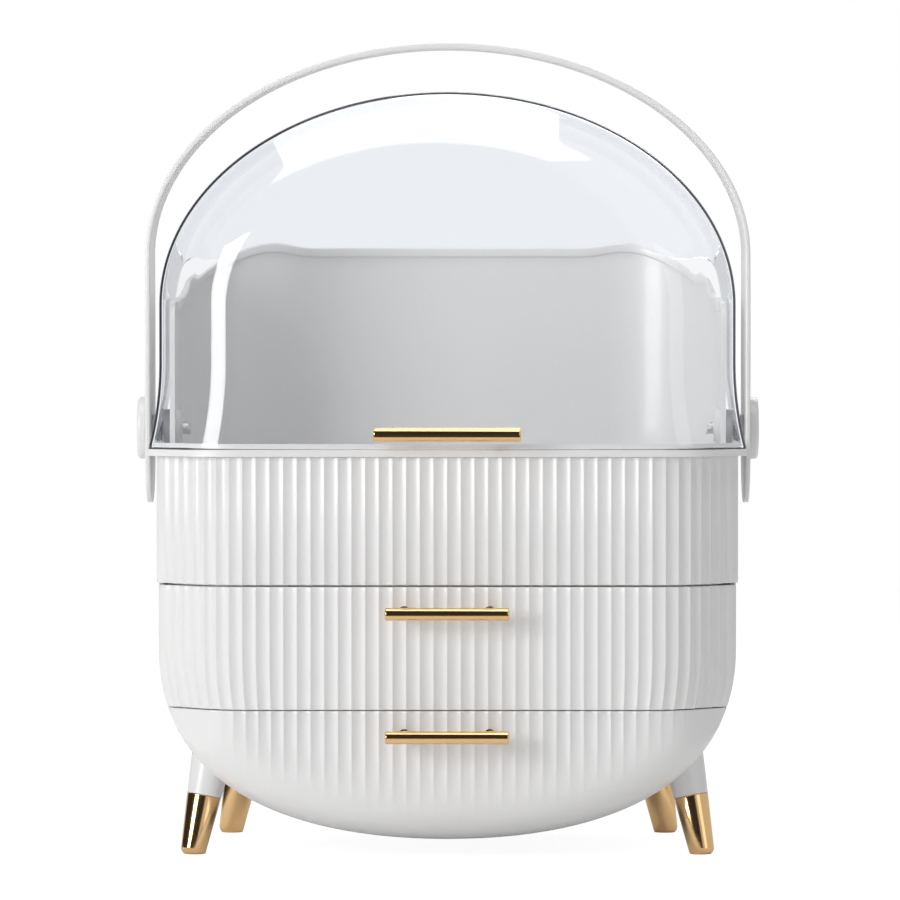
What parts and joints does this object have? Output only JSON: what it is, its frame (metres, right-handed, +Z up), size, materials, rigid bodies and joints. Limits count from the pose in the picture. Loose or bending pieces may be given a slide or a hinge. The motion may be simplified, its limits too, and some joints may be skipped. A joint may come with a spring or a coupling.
{
  "type": "makeup organizer",
  "caption": "White free-standing makeup organizer with ribbed drawers, an open bin under a clear flip-back hood, gold pulls and legs, and a swing-back strap handle.",
  "frame": {"origin": "Middle of the footprint on the floor, under the centre of the overall box", "axes": "+X to the right seen from the front, +Y from the drawer fronts to the back, +Z up"},
  "size_m": [0.2992, 0.1958, 0.3864],
  "materials": {
    "white": "glossy moulded plastic",
    "clear": "clear acrylic",
    "gold": "polished gold-tone plating",
    "steel": "zinc-plated screws",
    "washer": "nylon slip washers"
  },
  "bodies": {
    "body": {"bin_front": "white", "bin_tray": "white", "front_frame": "white", "front_left_leg": "white", "front_left_leg_cap": "gold", "front_right_leg": "white", "front_right_leg_cap": "gold", "hood_washers": "washer", "left_knob": "white", "middle_shelf": "white", "pivot_screws": "steel", "pivot_washers": "washer", "rear_left_leg": "white", "rear_left_leg_cap": "gold", "rear_right_leg": "white", "rear_right_leg_cap": "gold", "rear_shell": "white", "right_knob": "white"},
    "hood": {"hood": "clear", "hood_bar": "gold", "hood_bar_screws": "steel"},
    "handle": {"handle": "white"},
    "upper_drawer": {"upper_drawer_bar": "gold", "upper_drawer_bar_screws": "steel", "upper_drawer_box": "white", "upper_drawer_front": "white"},
    "lower_drawer": {"lower_drawer_bar": "gold", "lower_drawer_bar_screws": "steel", "lower_drawer_box": "white", "lower_drawer_front": "white"}
  },
  "joints": [
    {"name": "hood_hinge", "type": "hinge", "parent": "body", "child": "hood", "pos_m": [0, 0.01185, 0.201], "axis": [-1, 0, 0], "range_deg": [0, 86]},
    {"name": "handle_hinge", "type": "hinge", "parent": "body", "child": "handle", "pos_m": [0, 0.01185, 0.201], "axis": [-1, 0, 0], "range_deg": [0, 115]},
    {"name": "upper_drawer_slide", "type": "slide", "parent": "body", "child": "upper_drawer", "axis": [0, -1, 0], "range_m": [0, 0.11]},
    {"name": "lower_drawer_slide", "type": "slide", "parent": "body", "child": "lower_drawer", "axis": [0, -1, 0], "range_m": [0, 0.11]}
  ]
}
